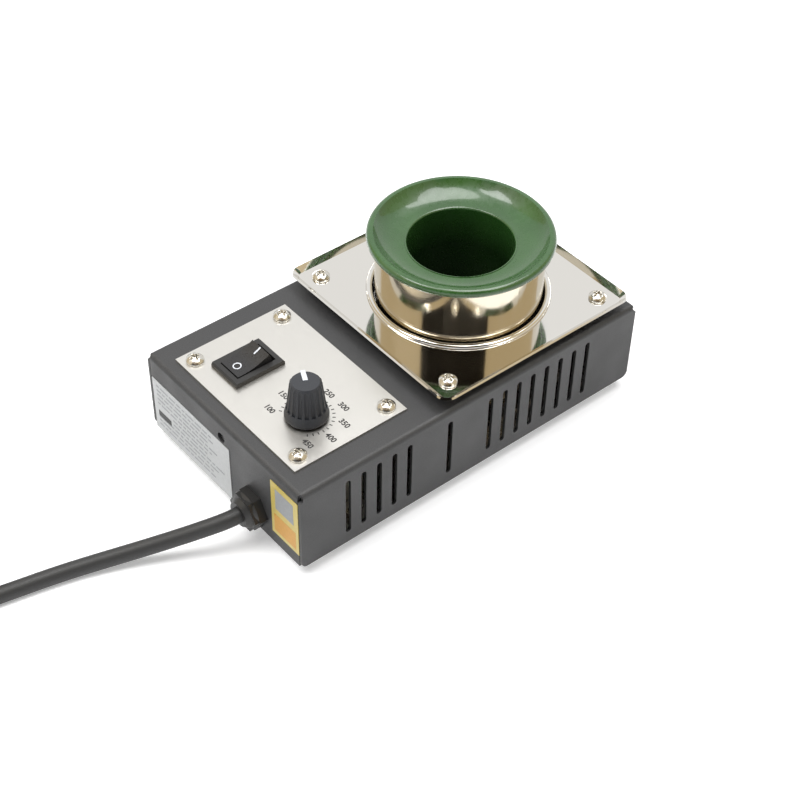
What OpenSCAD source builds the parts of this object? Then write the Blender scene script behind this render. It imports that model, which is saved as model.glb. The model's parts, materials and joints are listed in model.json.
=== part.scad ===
// Bench solder pot: folded steel case, control panel, spill tray, heater can and glazed crucible.
// X runs across the case, Y along it with the mains lead leaving at -Y, Z is up, and z = 0 is the bench.

/* [Case] */
// Width of the case
case_w = 90; // [88:1:110]
// Length of the case
case_l = 155; // [152:1:190]
// Height of the folded cover
case_h = 35; // [34:1:45]
// Thickness of the cover sheet
cover_t = 1.2; // [0.9:0.1:1.5]
// Outside radius of the cover's folds
fold_r = 2; // [1.8:0.1:3]
// Radius of the lower corners of the cover's walls
wall_corner_r = 2.5; // [1:0.5:4]
// Radius of the relief notch at each top corner
notch_r = 0.9; // [0.6:0.1:1.2]
// Thickness of the base plate
base_t = 1; // [0.8:0.1:1.5]

/* [Vents] */
// Width of a vent slot
vent_w = 2.2; // [1.5:0.1:3]
// Length of a vent slot
vent_l = 25; // [15:1:26]
// Distance between neighbouring slots
vent_pitch = 6.7; // [5:0.1:7.4]
// Slots in the front group
front_vents = 5; // [1:1:6]
// Slots in the rear group
rear_vents = 8; // [1:1:9]
// First front slot, from the front end
front_vent_start = 20; // [18:0.5:24]
// Single slot, from the front end
lone_vent_start = 65; // [62:0.5:68]
// First rear slot, from the front end
rear_vent_start = 83.8; // [80:0.2:88]

/* [Feet] */
// Diameter of a rubber foot
foot_d = 14; // [10:1:16]
// Height of a rubber foot
foot_h = 5; // [4:0.5:8]
// Half spacing of the front feet
front_foot_x = 34.5; // [30:0.5:35]
// Half spacing of the rear feet
rear_foot_x = 28; // [24:0.5:32]
// Front feet, from the front end
front_foot_in = 26.5; // [24:0.5:30]
// Rear feet, from the rear end
rear_foot_in = 20; // [14:0.5:20]

/* [Control panel] */
// Width of the panel
panel_w = 70; // [68:1:80]
// Length of the panel
panel_l = 48; // [46:1:52]
// Thickness of the panel
panel_t = 0.8; // [0.5:0.1:1.5]
// Panel edge, from the front end
panel_in = 5.5; // [4:0.5:8]
// Distance of the panel screws from the panel's sides
panel_screw_in = 5; // [4:0.5:6]

/* [Switch] */
// Width of the switch bezel
bezel_w = 15; // [14:0.5:17]
// Length of the switch bezel
bezel_l = 21; // [20:0.5:24]
// Height of the bezel above the panel
bezel_h = 2; // [1.5:0.1:2.5]
// Width of the bezel's rim round the rocker
bezel_rim = 2.3; // [2.1:0.1:2.5]
// Switch centre, from the panel's left side
switch_in_x = 18.5; // [17:0.5:20]
// Switch centre, from the panel's front edge
switch_in_y = 18.3; // [16:0.1:20]
// Rocker tilt each side of level
rocker_tilt = 13; // [10:0.5:14]

/* [Knob] */
// Diameter of the knob's skirt
skirt_d = 15.6; // [15:0.2:18]
// Diameter of the knob's cap
cap_d = 11.2; // [10.6:0.2:12]
// Height of the knob
knob_h = 15.5; // [14:0.5:18]
// Flutes round the knob
flutes = 18; // [8:1:22]
// Diameter of the control shaft
shaft_d = 6; // [5:0.1:6.3]
// Knob centre, from the panel's left side
knob_in_x = 51.6; // [49:0.2:54]
// Knob centre, from the panel's front edge
knob_in_y = 18.9; // [17:0.1:21]
// Direction of the pointer at rest
pointer_angle = 154; // [0:1:180]

/* [Spill tray] */
// Width of the square tray over its lips
tray_w = 90; // [88:1:96]
// How far each lip flares outwards
lip_out = 2.6; // [2:0.1:3.5]
// How far each lip rises
lip_up = 2; // [1:0.1:3]
// Thickness of the tray sheet
tray_t = 0.8; // [0.6:0.1:1.2]
// Height of the tray spacers
spacer_h = 3.2; // [2:0.1:6]
// Spacing of the tray screws
tray_screws = 72; // [70:1:76]
// Radius of the rolled collar's section
collar_r = 1.3; // [1:0.1:1.6]

/* [Heater can and crucible] */
// Centre of the crucible, from the rear end
pot_in = 48; // [47:0.5:56]
// Outside diameter of the heater can
can_d = 62; // [60:1:64]
// Thickness of the can's sheet
can_t = 0.8; // [0.6:0.1:1.2]
// Height of the crucible's rim above the case
rim_rise = 30.3; // [26:0.1:40]
// Outside diameter of the crucible's rim
rim_d = 68.4; // [66:0.2:74]
// Radius of the rolled edge of the rim
roll_r = 1.7; // [1.4:0.1:2]
// Diameter of the crucible's opening
well_d = 39; // [36:0.5:40]
// Depth of the well below the opening
well_deep = 34; // [30:0.5:35]
// Diameter of the crucible's cup
cup_d = 45; // [44:0.5:46]
// Radius of the dish's hollow
dish_r = 13.4; // [13:0.1:15]

/* [Fasteners] */
// Head diameter of the pan-head screws
head_d = 6.5; // [5.5:0.1:7]
// Head height of the pan-head screws
head_h = 2.3; // [1.8:0.1:2.6]
// Shank diameter of the pan-head screws
screw_d = 3; // [2.5:0.1:3.5]

/* [Gland and lead] */
// Gland centre, from the case's middle
gland_x = 18; // [14:0.5:22]
// Gland centre above the cover's lower edge
gland_up = 8.5; // [8.4:0.1:12]
// Size of the gland's hexagon across its flats
gland_af = 14; // [13:0.5:14.5]
// Diameter of the mains lead
lead_d = 6; // [5:0.1:6.2]

/* [Labels] */
// Width of the white label
label_w = 47.5; // [40:0.5:50]
// Height of the white label
label_h = 24.5; // [18:0.5:26]
// Width of the yellow label
tag_w = 15; // [12:0.5:16]
// Height of the yellow label
tag_h = 25; // [18:0.5:26]
// Diameter of the calibration hole
cal_d = 4; // [3:0.2:4.6]

/* [Hidden] */
$fn = 48;
eps = 0.01;
seat = 0.3;          // gap between pieces that sit close without touching
run = 0.05;          // radial running clearance of a shaft or pin
hole_gap = 0.25;     // radial clearance of a screw in its hole
tap_d = screw_d + 2 * run;          // threaded hole for a screw
free_d = screw_d + 2 * hole_gap;    // plain hole for a screw

base_z = foot_h;
base_top = base_z + base_t;
top_z = base_z + case_h;
roof_z = top_z - cover_t;
front_y = -case_l / 2;
rear_y = case_l / 2;
in_w = case_w - 2 * cover_t;
in_l = case_l - 2 * cover_t;
slit_w = 0.3;        // gap where two walls meet at a corner
notch_in = 0.75 * notch_r;
vent_z = base_z + case_h / 2;

panel_y = front_y + panel_in + panel_l / 2;
panel_z = top_z + panel_t;
panel_screw_x = panel_w / 2 - panel_screw_in;
panel_screw_y = panel_l / 2 - panel_screw_in;
switch_x = -panel_w / 2 + switch_in_x;
switch_y = front_y + panel_in + switch_in_y;
knob_x = -panel_w / 2 + knob_in_x;
knob_y = front_y + panel_in + knob_in_y;

// switch, measured from the panel's face
bezel_z = panel_z + bezel_h;
body_w = bezel_w - 2;
body_l = bezel_l - 2;
body_deep = 13;
cavity_w = bezel_w - 2 * bezel_rim;
cavity_l = bezel_l - 2 * bezel_rim;
pivot_z = bezel_z - 3;
rocker_w = cavity_w - 0.5;
rocker_r = cavity_l / 2 - 0.3;      // reach of the rocker from its pivot
rocker_top = 5;                     // rocker's ends above its pivot
rocker_dish = 1;                    // hollow of the rocker's top
rocker_pin_d = 2;
pin_socket = 0.8;                   // depth of a pin's socket in the housing's wall
terminal_l = 7;
terminal_y = 4.5;                   // terminals each side of the switch's middle
terminal_z = panel_z - body_deep - terminal_l;

// control shaft
bushing_d = shaft_d + 1;
pot_body_d = 16.4;
board_z = roof_z - 9.8;             // upper face of the circuit board
board_t = 1.6;
shaft_floor = 4;                    // floor of the potentiometer's bore above the board
knob_z = panel_z + 0.8;
knob_top = knob_z + knob_h;
knob_bore_top = knob_top - 3;
nut_h = 2;

// tray
tray_y = rear_y - pot_in;
tray_z = top_z + spacer_h;
tray_top = tray_z + tray_t;
tray_fold = tray_w / 2 - lip_out;
tray_corner_r = 2;
screw_half = tray_screws / 2;
can_r = can_d / 2;
collar_gap = 0.6;
collar_mid = can_r + collar_gap + collar_r;

// crucible, measured from the top of its rim
rim_z = top_z + rim_rise;
roll_mid = rim_d / 2 - roll_r;
lip_z = -4.6;
dish_mid = 21.3;
dish_z = -4.9 + dish_r;              // centre of the dish's hollow
land_z = -roll_r - 2.5;
well_r = well_d / 2;
well_floor = lip_z - well_deep;
cup_r = cup_d / 2;
cup_floor = well_floor - 6;
boss_r = 6;
boss_h = 8;
stud_d = 5;
can_top = rim_z + land_z;
bracket_rise = 6.2;                 // pot bracket above the base plate
can_floor = base_top + bracket_rise;
can_in = can_r - can_t;
bracket_t = 1.2;
bracket_top = can_floor;
band_in = cup_r + 0.1;
band_out = band_in + 2.8;
sleeve_in = band_out + 0.5;
sleeve_out = can_in - seat;
sleeve_z = can_floor + can_t;

// gland
gland_z = base_z + gland_up;
gland_thread_d = 10;
gland_flange_t = 3.2;
gland_cap_h = 3.6;
gland_end_y = front_y - gland_flange_t - gland_cap_h;

gland_in = 8;        // thread inside the case
gland_neck_d = gland_thread_d - 1.6;
gland_face = 0.8;    // end face of the cap
seal_t = 0.9;

// base plate fittings
lug_w = 10;
lug_h = 9;
lug_reach = 9;
lug_hole = (lug_reach + cover_t) / 2;
lug_in = 12;         // lug centres, from the ends
foot_taper = 0.8;
foot_web = 2;        // rubber under the foot screw's head
foot_nut_h = 2.4;
triac_x = -22;
triac_y = -25;
triac_hole = 12;
block_y = front_y + 24;
block_l = 14;
block_h = 14;
block_top = base_top + block_h;
block_pole = 8;      // distance between the block's poles
triac_pin = 2.54;
triac_pin_l = 6;

// switch and knob details
rocker_end = rocker_r * cos(rocker_tilt) - rocker_top * sin(rocker_tilt) + 0.35;
wing_w = 5;
wing_out = 0.8;
wing_gap = 0.2;
nut_room = 2.4;      // hollow under the knob for the shaft's nut
knob_room = 6.4;
grip_d = 13.4;
skirt_h = 5.6;
flare_r = 5.5;
flute_r = 0.8;
pointer_w = 1.7;
pointer_t = 0.4;

// circuit board and trimmer
board_x = -7;
board_w = 44;
board_y = front_y + 4;
board_l = 38;
spacer_af = 6;
spacer_in = 4;       // board spacers, from the board's edges
spacer_bore = 6;
film_h = 10;
trimmer_w = 9.5;
trimmer_l = 7;
trimmer_y = front_y + 4.6;
trimmer_z = top_z - 7.4;
trimmer_rotor_d = 5;
trimmer_seat = 2;

// crucible and heater details
mouth_r = 0.8;
probe_d = 3;
probe_y = 17;
probe_deep = 3.5;
band_z = rim_z + cup_floor + 2;
band_h = 30;
band_gap = 5;
feed_x = -(band_in + band_out) / 2;  // heater leads under the band's ends
feed_y = band_gap / 2 + 1.7;
feed_d = 5;
bracket_half = 21;
bracket_foot = 13;
bracket_l = 24;
label_t = 0.2;

// lead: hand-laid route from the gland to the coil, and from the coil to the plug
lead_route = [
    [gland_x, gland_end_y, gland_z], [gland_x, gland_end_y - 3, gland_z],
    [16, -93, 12.4], [10.5, -103, 9], [4, -115.5, 5.6],
    [-2, -129, 3.4], [-6, -142, 3], [-9, -156, 3], [-12, -170, 3], [-13.6, -181, 3], [-14.2, -188, 3]
];
tail_route = [
    [-14.6, -193.6, 9], [-16.1, -207.8, 8.4], [-23.7, -220.7, 6.2], [-36.8, -228.8, 3.8], [-52, -231.7, 3],
    [-67.3, -229, 3], [-80.7, -221.2, 3], [-88.6, -213.6, 3.4], [-96.2, -204.5, 5.2], [-99.2, -197.5, 7.8],
    [-100, -192.5, 9.5], [-100, -188.5, 9.5]
];
coil_x = -52;
coil_y = -187;
coil_mid = 32;       // radius at the middle of the turns
coil_rings = 3;      // turns side by side
coil_layers = 2;     // turns on each other
plug_at = tail_route[len(tail_route) - 1];
plug_turn = 90;      // direction in which the lead runs into the plug
plug_relief = 22;
plug_l = 26;
plug_w = 23.6;
plug_h = 19;
blade_gap = 12.7;
blade_l = 17;

// shared shapes

module four(x, y) {
    for (sx = [-1, 1], sy = [-1, 1]) translate([sx * x, sy * y, 0]) children();
}

module dome(d, h) {
    // low domed head, flat below
    rise = h * 0.6;
    r = (d * d / 4 + rise * rise) / (2 * rise);
    intersection() {
        cylinder(d = d, h = h);
        translate([0, 0, h - r]) sphere(r = r, $fn = 96);
    }
}

module pan_screw(length) {
    // head above z = 0, shank below it
    difference() {
        union() {
            dome(head_d, head_h);
            translate([0, 0, -length]) cylinder(d = screw_d, h = length + eps);
        }
        for (a = [0, 90]) rotate(a) translate([0, 0, head_h])
            cube([head_d * 0.55, 0.9, 2.2], center = true);
    }
}

module hex_nut(d, across, h) {
    difference() {
        cylinder(d = across / cos(30), h = h, $fn = 6);
        translate([0, 0, -1]) cylinder(d = d, h = h + 2);
    }
}

module slot(w, l, depth) {
    // upright slot with round ends, cut along X
    rotate([0, 90, 0]) union() {
        cube([l - w, w, depth], center = true);
        for (s = [-1, 1]) translate([s * (l - w) / 2, 0, 0]) cylinder(d = w, h = depth, center = true);
    }
}

module folded_block(w, l, h, r) {
    // block from z = 0 whose four upper edges are rounded like a folded sheet
    module outline(span) {
        translate([-span / 2, 0]) square([span, h - r]);
        translate([-span / 2 + r, 0]) square([span - 2 * r, h]);
        for (s = [-1, 1]) translate([s * (span / 2 - r), h - r]) circle(r = r);
    }
    intersection() {
        translate([0, l / 2, 0]) rotate([90, 0, 0]) linear_extrude(l) outline(w);
        translate([-w / 2, 0, 0]) rotate([90, 0, 90]) linear_extrude(w) outline(l);
    }
}

// sweep of a round tube along a list of points
function unit(v) = v / norm(v);
function heading(pts, i) =
    unit(pts[min(i + 1, len(pts) - 1)] - pts[max(i - 1, 0)]);
// sideways direction of a ring, carried along the tube so that it never twists
function sideways(pts, i) =
    let (t = heading(pts, i))
    i == 0 ? unit(cross(t, abs(t[2]) < 0.9 ? [0, 0, 1] : [1, 0, 0]))
    : let (s = sideways(pts, i - 1)) unit(s - (s * t) * t);
function ring_at(pts, i, r, sides) =
    let (side = sideways(pts, i), up = cross(side, heading(pts, i)))
    [for (k = [0 : sides - 1]) pts[i] + r * (cos(360 * k / sides) * side + sin(360 * k / sides) * up)];

module tube(pts, d, sides = 10) {
    n = len(pts);
    points = [for (i = [0 : n - 1]) each ring_at(pts, i, d / 2, sides)];
    walls = [for (i = [0 : n - 2], k = [0 : sides - 1]) let (j = (k + 1) % sides)
        [i * sides + k, i * sides + j, (i + 1) * sides + j, (i + 1) * sides + k]];
    first = [for (k = [sides - 1 : -1 : 0]) k];
    last = [for (k = [0 : sides - 1]) (n - 1) * sides + k];
    polyhedron(points, concat([first], walls, [last]));
}

// case

module vents(sx) {
    starts = concat(
        [for (i = [0 : front_vents - 1]) front_vent_start + i * vent_pitch],
        [lone_vent_start],
        [for (i = [0 : rear_vents - 1]) rear_vent_start + i * vent_pitch]
    );
    for (s = starts) translate([sx * case_w / 2, front_y + s, vent_z]) slot(vent_w, vent_l, 4 * cover_t);
}

module wall_corner() {
    // what is cut off a side wall to round its lower corner
    cut = wall_corner_r + 1;
    difference() {
        translate([-cover_t / 2 - eps, 0, -cut]) cube([cover_t + 2 * eps, cut, cut]);
        rotate([0, 90, 0]) cylinder(r = wall_corner_r, h = 3 * cover_t, center = true);
    }
}

module cover() color("dimgray")
difference() {
    translate([0, 0, base_z]) folded_block(case_w, case_l, case_h, fold_r);
    translate([0, 0, base_z - eps])
        folded_block(in_w, in_l, case_h - cover_t + eps, fold_r - cover_t);
    // end walls butt between the side walls
    four(case_w / 2 - cover_t - slit_w / 2, case_l / 2 - cover_t)
        translate([-slit_w / 2, -cover_t - 1, base_z - 1])
            cube([slit_w, 2 * cover_t + 2, case_h - fold_r + 1]);
    four(case_w / 2 - notch_in, case_l / 2 - notch_in)
        translate([0, 0, top_z - fold_r - notch_r]) cylinder(r = notch_r, h = fold_r + 2 * notch_r);
    // rounded lower corners of the side walls
    for (sx = [-1, 1], sy = [-1, 1]) mirror([0, sy < 0 ? 1 : 0, 0])
        translate([sx * (case_w - cover_t) / 2, case_l / 2 - wall_corner_r, base_z + wall_corner_r])
            wall_corner();
    for (s = [-1, 1]) vents(s);
    // openings in the roof
    translate([0, tray_y, roof_z - 1]) cylinder(r = can_r + 1, h = cover_t + 2);
    translate([0, tray_y, roof_z - 1]) four(screw_half, screw_half)
        cylinder(d = free_d, h = cover_t + 2);
    translate([0, panel_y, roof_z - 1]) four(panel_screw_x, panel_screw_y)
        cylinder(d = tap_d, h = cover_t + 2);
    translate([switch_x - body_w / 2 - seat, switch_y - body_l / 2 - seat, roof_z - 1])
        cube([body_w + 2 * seat, body_l + 2 * seat, cover_t + 2]);
    translate([knob_x, knob_y, roof_z - 1]) cylinder(d = bushing_d + 2 * hole_gap, h = cover_t + 2);
    // openings in the front wall
    translate([gland_x, front_y - 1, gland_z]) rotate([-90, 0, 0])
        cylinder(d = gland_thread_d + 2 * hole_gap, h = cover_t + 2);
    translate([0, front_y - 1, trimmer_z]) rotate([-90, 0, 0]) cylinder(d = cal_d, h = cover_t + 2);
}

module lug() {
    // angle welded to a side wall at x = 0, reaching towards -X
    difference() {
        union() {
            translate([-cover_t, -lug_w / 2, base_top]) cube([cover_t, lug_w, lug_h]);
            translate([-lug_reach, -lug_w / 2, base_top]) cube([lug_reach, lug_w, cover_t]);
        }
        translate([-lug_hole, 0, base_top - 1]) cylinder(d = tap_d, h = cover_t + 2);
    }
}

module base_lugs() color("silver")
for (sx = [0, 1], sy = [-1, 1]) mirror([sx, 0, 0])
    translate([in_w / 2, sy * (case_l / 2 - lug_in), 0]) lug();

module base_plate() color("gainsboro")
difference() {
    translate([-in_w / 2 + seat, -in_l / 2 + seat, base_z]) cube([in_w - 2 * seat, in_l - 2 * seat, base_t]);
    translate([0, 0, base_z - 1]) {
        four(in_w / 2 - lug_hole, case_l / 2 - lug_in) cylinder(d = free_d, h = base_t + 2);
        at_feet() cylinder(d = free_d, h = base_t + 2);
        at_bracket_screws() cylinder(d = tap_d, h = base_t + 2);
        translate([triac_x, triac_y + triac_hole, 0]) cylinder(d = tap_d, h = base_t + 2);
    }
}

module at_feet() {
    for (sx = [-1, 1]) {
        translate([sx * front_foot_x, front_y + front_foot_in, 0]) children();
        translate([sx * rear_foot_x, rear_y - rear_foot_in, 0]) children();
    }
}

module base_screws() color("silver")
four(in_w / 2 - lug_hole, case_l / 2 - lug_in)
    translate([0, 0, base_z]) rotate([180, 0, 0]) pan_screw(base_t + cover_t + 1.5);

module feet() color("black")
at_feet() difference() {
    rotate_extrude() polygon([
        [0, 0], [foot_d / 2 - 1, 0], [foot_d / 2, 1], [foot_d / 2 - foot_taper, foot_h], [0, foot_h]
    ]);
    translate([0, 0, -1]) cylinder(d = free_d, h = foot_h + 2);
    translate([0, 0, -1]) cylinder(d = head_d + 1, h = foot_h - foot_web + 1);
}

module foot_screws() color("silver")
at_feet() translate([0, 0, foot_h - foot_web]) rotate([180, 0, 0])
    pan_screw(foot_web + base_t + foot_nut_h + 0.8);

module foot_nuts() color("silver")
at_feet() translate([0, 0, base_top]) hex_nut(tap_d, 5.5, foot_nut_h);

// control panel, switch and knob

module control_panel() color("silver")
translate([0, panel_y, top_z]) difference() {
    translate([-panel_w / 2, -panel_l / 2, 0]) cube([panel_w, panel_l, panel_t]);
    translate([0, 0, -1]) four(panel_screw_x, panel_screw_y)
        cylinder(d = free_d, h = panel_t + 2);
    translate([switch_x - body_w / 2 - seat, switch_y - panel_y - body_l / 2 - seat, -1])
        cube([body_w + 2 * seat, body_l + 2 * seat, panel_t + 2]);
    translate([knob_x, knob_y - panel_y, -1]) cylinder(d = bushing_d + 2 * hole_gap, h = panel_t + 2);
}

module panel_screws() color("silver")
translate([0, panel_y, panel_z]) four(panel_screw_x, panel_screw_y) pan_screw(panel_t + cover_t + 3);

module switch_body() color([0.13, 0.12, 0.12])
translate([switch_x, switch_y, panel_z]) difference() {
    union() {
        // bezel with sloped edges, and the housing below it
        rotate([90, 0, 90]) linear_extrude(bezel_w, center = true) polygon([
            [-bezel_l / 2, 0], [bezel_l / 2, 0], [bezel_l / 2, bezel_h * 0.6], [bezel_l / 2 - 0.6, bezel_h],
            [-bezel_l / 2 + 0.6, bezel_h], [-bezel_l / 2, bezel_h * 0.6]
        ]);
        translate([-body_w / 2, -body_l / 2, -body_deep]) cube([body_w, body_l, body_deep + eps]);
        // snap wings that hold the housing in the roof
        for (sy = [0, 1]) mirror([0, sy, 0]) translate([-wing_w / 2, body_l / 2 - eps, -body_deep + 2])
            cube([wing_w, wing_out, body_deep - 2 - panel_t - cover_t - wing_gap]);
    }
    translate([-cavity_w / 2, -cavity_l / 2, -7]) cube([cavity_w, cavity_l, 7 + bezel_h + 1]);
    translate([0, 0, pivot_z - panel_z]) rotate([0, 90, 0])
        cylinder(d = rocker_pin_d + 2 * run, h = cavity_w + 2 * pin_socket, center = true);
}

module switch_rocker() color([0.2, 0.2, 0.21])
translate([switch_x, switch_y, pivot_z]) rotate([rocker_tilt, 0, 0]) {
    hollow_r = (rocker_end * rocker_end + rocker_dish * rocker_dish) / (2 * rocker_dish);
    rotate([90, 0, 90]) linear_extrude(rocker_w, center = true) difference() {
        polygon([
            [-rocker_r, 0], [-rocker_end, rocker_top], [rocker_end, rocker_top], [rocker_r, 0],
            [rocker_r - 1.2, -2], [1.5, -3.4], [-1.5, -3.4], [-rocker_r + 1.2, -2]
        ]);
        translate([0, rocker_top - rocker_dish + hollow_r]) circle(r = hollow_r, $fn = 120);
    }
    rotate([0, 90, 0]) cylinder(d = rocker_pin_d, h = cavity_w + 2 * (pin_socket - seat), center = true);
}

module switch_terminals() color("gold")
for (s = [-1, 1]) translate([switch_x - 2.4, switch_y + s * terminal_y - 0.4, terminal_z])
    cube([4.8, 0.8, terminal_l]);

module potentiometer() color([0.55, 0.55, 0.5])
translate([knob_x, knob_y, 0]) difference() {
    union() {
        translate([0, 0, board_z]) cylinder(d = pot_body_d, h = roof_z - board_z);
        translate([0, 0, roof_z - eps]) cylinder(d = bushing_d, h = knob_z - roof_z + nut_room - seat);
    }
    translate([0, 0, board_z + shaft_floor]) cylinder(d = shaft_d + 2 * run, h = knob_top);
}

module control_shaft() color("silver")
translate([knob_x, knob_y, board_z + shaft_floor + seat])
    cylinder(d = shaft_d, h = knob_bore_top - board_z - shaft_floor - seat);

module shaft_nut() color("silver")
translate([knob_x, knob_y, panel_z]) hex_nut(bushing_d + 2 * run, 10, nut_h);

module knob_body() {
    // profile: hollow under the skirt, flared skirt, tapered grip and a slightly domed cap
    rotate_extrude($fn = 96) difference() {
        polygon([
            [0, 0], [skirt_d / 2 - 0.3, 0], [skirt_d / 2, 0.4], [skirt_d / 2, 1.1],
            [grip_d / 2, skirt_h], [cap_d / 2, knob_h - 0.9], [cap_d / 2 - 0.8, knob_h], [0, knob_h]
        ]);
        // the flare sweeps in as a hollow curve
        translate([skirt_d / 2 + flare_r - 0.35, 1.1 + flare_r * 0.86]) circle(r = flare_r);
        translate([-1, -1]) square([knob_room + 1, nut_room + 1]);
    }
}

module knob() color([0.2, 0.22, 0.25])
translate([knob_x, knob_y, knob_z]) difference() {
    knob_body();
    for (i = [0 : flutes - 1]) rotate(pointer_angle + (i + 0.5) * 360 / flutes)
        translate([grip_d / 2 + flute_r * 0.45, 0, skirt_h])
            rotate([0, -atan2((grip_d - cap_d) / 2, knob_h - skirt_h), 0])
                translate([0, 0, -1.5]) cylinder(r = flute_r, h = knob_h, $fn = 24);
    translate([0, 0, -1]) cylinder(d = shaft_d + 2 * run, h = knob_bore_top - knob_z + 1);
    rotate(pointer_angle) translate([0.4, -pointer_w / 2, knob_h - pointer_t])
        cube([cap_d, pointer_w, pointer_t + 1]);
}

module knob_pointer() color("white")
translate([knob_x, knob_y, knob_top - pointer_t]) rotate(pointer_angle) intersection() {
    translate([0.4, -pointer_w / 2, 0]) cube([cap_d, pointer_w, pointer_t + 0.15]);
    cylinder(d = cap_d - 0.3, h = pointer_t + 1, $fn = 96);
}

// circuit board hung from the roof

module circuit_board() color([0.1, 0.4, 0.2])
difference() {
    translate([board_x, board_y, board_z - board_t]) cube([board_w, board_l, board_t]);
    at_board_spacers() translate([0, 0, board_z - board_t - 1])
        cylinder(d = free_d, h = board_t + 2);
}

module at_board_spacers() {
    for (x = [spacer_in, board_w - spacer_in])
        translate([board_x + x, board_y + board_l - spacer_in, 0]) children();
}

module board_spacers() color("gold")
at_board_spacers() translate([0, 0, board_z]) difference() {
    cylinder(d = spacer_af / cos(30), h = roof_z - board_z, $fn = 6);
    translate([0, 0, -1]) cylinder(d = tap_d, h = spacer_bore + 1);
}

module board_screws() color("silver")
at_board_spacers() translate([0, 0, board_z - board_t]) rotate([180, 0, 0])
    pan_screw(board_t + spacer_bore - 2);

module trimmer_body() color("royalblue")
difference() {
    translate([-trimmer_w / 2, trimmer_y, board_z]) cube([trimmer_w, trimmer_l, 2 * (trimmer_z - board_z)]);
    translate([0, trimmer_y - 1, trimmer_z]) rotate([-90, 0, 0])
        cylinder(d = trimmer_rotor_d + 2 * run, h = trimmer_seat + 1);
}

module trimmer_rotor() color("white")
translate([0, trimmer_y - 0.6, trimmer_z]) rotate([-90, 0, 0]) difference() {
    cylinder(d = trimmer_rotor_d, h = trimmer_seat + 0.6 - seat);
    rotate(35) cube([trimmer_rotor_d + 1, 0.7, 2], center = true);
}

module film_capacitor() color("goldenrod")
translate([board_x + 2, board_y + board_l - 24, board_z - board_t - film_h]) cube([7, 14, film_h]);

module control_chip() color([0.1, 0.1, 0.1])
translate([board_x + 16, board_y + board_l - 20, board_z - board_t - 3.4]) cube([10, 6.4, 3.4]);

module triac() color([0.12, 0.12, 0.12])
translate([triac_x, triac_y, base_top]) {
    difference() {
        union() {
            translate([-5, 0, 0]) cube([10, 15, 1.3]);
            translate([-5, 0, 0]) cube([10, 8.5, 4.5]);
        }
        translate([0, triac_hole, -1]) cylinder(d = free_d, h = 4);
    }
    for (x = [-triac_pin, 0, triac_pin]) translate([x - 0.4, -triac_pin_l, 2])
        cube([0.8, triac_pin_l + eps, 0.5]);
}

module triac_screw() color("silver")
translate([triac_x, triac_y + triac_hole, base_top + 1.3]) pan_screw(1.3 + base_t + 0.5);

module terminal_block() color("ivory")
translate([gland_x, block_y, base_top]) difference() {
    translate([-1.5 * block_pole, 0, 0]) cube([3 * block_pole, block_l, block_h]);
    for (s = [-1, 0, 1]) translate([s * block_pole, block_l / 2, block_h - 6]) cylinder(d = 4.4, h = 7);
}

// tray, can and crucible

module tray_lip() {
    // section of the flared lip, from the fold line outwards
    edge = [lip_out, lip_up];
    polygon([[-eps, 0], edge, edge + tray_t * [-0.55, 0.75], [-eps, tray_t]]);
}

module spill_tray() color("gainsboro")
translate([0, tray_y, tray_z]) {
    straight = tray_fold - tray_corner_r;
    difference() {
        union() {
            translate([-straight, -tray_fold, 0]) cube([2 * straight, 2 * tray_fold, tray_t]);
            translate([-tray_fold, -straight, 0]) cube([2 * tray_fold, 2 * straight, tray_t]);
            four(straight, straight) cylinder(r = tray_corner_r, h = tray_t);
            // lips along the sides and round the corners
            for (a = [0, 90, 180, 270]) rotate(a) {
                translate([tray_fold, straight, 0]) rotate([90, 0, 0])
                    linear_extrude(2 * straight) tray_lip();
                translate([straight, straight, 0]) rotate_extrude(angle = 90)
                    translate([tray_corner_r, 0]) tray_lip();
            }
        }
        translate([0, 0, -1]) cylinder(r = collar_mid + collar_r - tray_t, h = tray_t + 2, $fn = 120);
        translate([0, 0, -1]) four(screw_half, screw_half) cylinder(d = free_d, h = tray_t + 2);
    }
    // collar rolled over towards the can
    rotate_extrude($fn = 120) translate([collar_mid, 0]) difference() {
        union() {
            translate([0, tray_t]) circle(r = collar_r);
            translate([-collar_r, 0]) square([2 * collar_r, tray_t]);
        }
        translate([0, tray_t]) circle(r = collar_r - tray_t);
        translate([tray_t - collar_r, -tray_t]) square([2 * (collar_r - tray_t), 2 * tray_t]);
        translate([-2 * collar_r, -2 * collar_r]) square([4 * collar_r, 2 * collar_r]);
    }
}

module tray_spacers() color("silver")
translate([0, tray_y, top_z]) four(screw_half, screw_half) difference() {
    cylinder(d = 7, h = spacer_h);
    translate([0, 0, -1]) cylinder(d = free_d, h = spacer_h + 2);
}

module tray_bolts() color("silver")
translate([0, tray_y, tray_top]) four(screw_half, screw_half)
    pan_screw(tray_t + spacer_h + cover_t + foot_nut_h + 0.8);

module tray_nuts() color("silver")
translate([0, tray_y, roof_z - foot_nut_h]) four(screw_half, screw_half)
    hex_nut(tap_d, 5.5, foot_nut_h);

module heater_can() color("wheat")
translate([0, tray_y, can_floor]) difference() {
    cylinder(r = can_r, h = can_top - can_floor, $fn = 120);
    translate([0, 0, can_t]) cylinder(r = can_in, h = can_top, $fn = 120);
    translate([0, 0, -1]) cylinder(d = stud_d + 2 * hole_gap, h = can_t + 2);
    translate([0, probe_y, -1]) cylinder(d = probe_d + 2 * hole_gap, h = can_t + 2);
    translate([0, 0, -1]) at_feeds() cylinder(d = feed_d, h = can_t + 2);
}

module at_feeds() {
    for (s = [-1, 1]) translate([feed_x, s * feed_y, 0]) children();
}

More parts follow.
